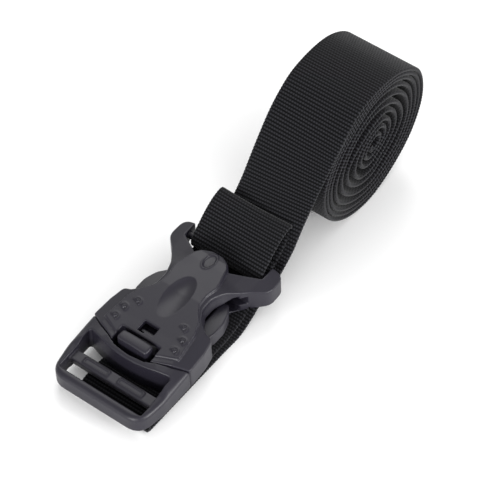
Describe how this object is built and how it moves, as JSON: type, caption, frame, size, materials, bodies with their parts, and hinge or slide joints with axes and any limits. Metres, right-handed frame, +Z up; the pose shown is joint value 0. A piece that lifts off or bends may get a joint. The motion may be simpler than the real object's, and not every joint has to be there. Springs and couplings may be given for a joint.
{
  "type": "dive weight belt",
  "caption": "Rolled webbing belt whose end is sewn round the rear bar of a side-release buckle with a sprung centre lock.",
  "frame": {"origin": "centre of the bounding box at its base, where the belt rests on a surface", "axes": "+X along the belt from the plug of the buckle towards the roll, +Y to the belt's left, +Z up from the surface the belt lies on"},
  "size_m": [0.2726, 0.07, 0.0916],
  "materials": {
    "webbing": "ribbed woven webbing",
    "thread": "matt thread",
    "buckle_plastic": "fine matt moulded texture"
  },
  "bodies": {
    "webbing": {"webbing_base": "webbing", "webbing_lead": "webbing", "webbing_roll": "webbing", "webbing_return": "webbing", "webbing_loop": "webbing", "stitching": "thread"},
    "socket": {"socket_shell": "buckle_plastic"},
    "plug": {"plug_frame": "buckle_plastic"},
    "prong_left": {"prong_left": "buckle_plastic"},
    "prong_right": {"prong_right": "buckle_plastic"},
    "tongue": {"centre_tongue": "buckle_plastic"}
  },
  "joints": [
    {"name": "buckle_swivel", "type": "hinge", "parent": "webbing", "child": "socket", "pos_m": [-0.01528, 0, 0.02021], "axis": [0, 1, 0], "range_deg": [0, 10]},
    {"name": "plug_slide", "type": "slide", "parent": "socket", "child": "plug", "axis": [-0.9989, 0, -0.0471], "range_m": [0, 0.062], "deforming": ["prong_left", "prong_right", "centre_tongue"]},
    {"name": "squeeze_left", "type": "hinge", "parent": "plug", "child": "prong_left", "pos_m": [-0.10165, 0.0215, 0.01333], "axis": [0.0471, 0, -0.9989], "range_deg": [0, 6], "stiffness_Nm_per_rad": 0.9},
    {"name": "squeeze_right", "type": "hinge", "parent": "plug", "child": "prong_right", "pos_m": [-0.10165, -0.0215, 0.01333], "axis": [-0.0471, 0, 0.9989], "range_deg": [0, 6], "stiffness_Nm_per_rad": 0.9},
    {"name": "button_press", "type": "hinge", "parent": "plug", "child": "tongue", "pos_m": [-0.10562, 0, 0.01695], "axis": [0, 1, 0], "range_deg": [0, 7], "stiffness_Nm_per_rad": 0.6}
  ]
}
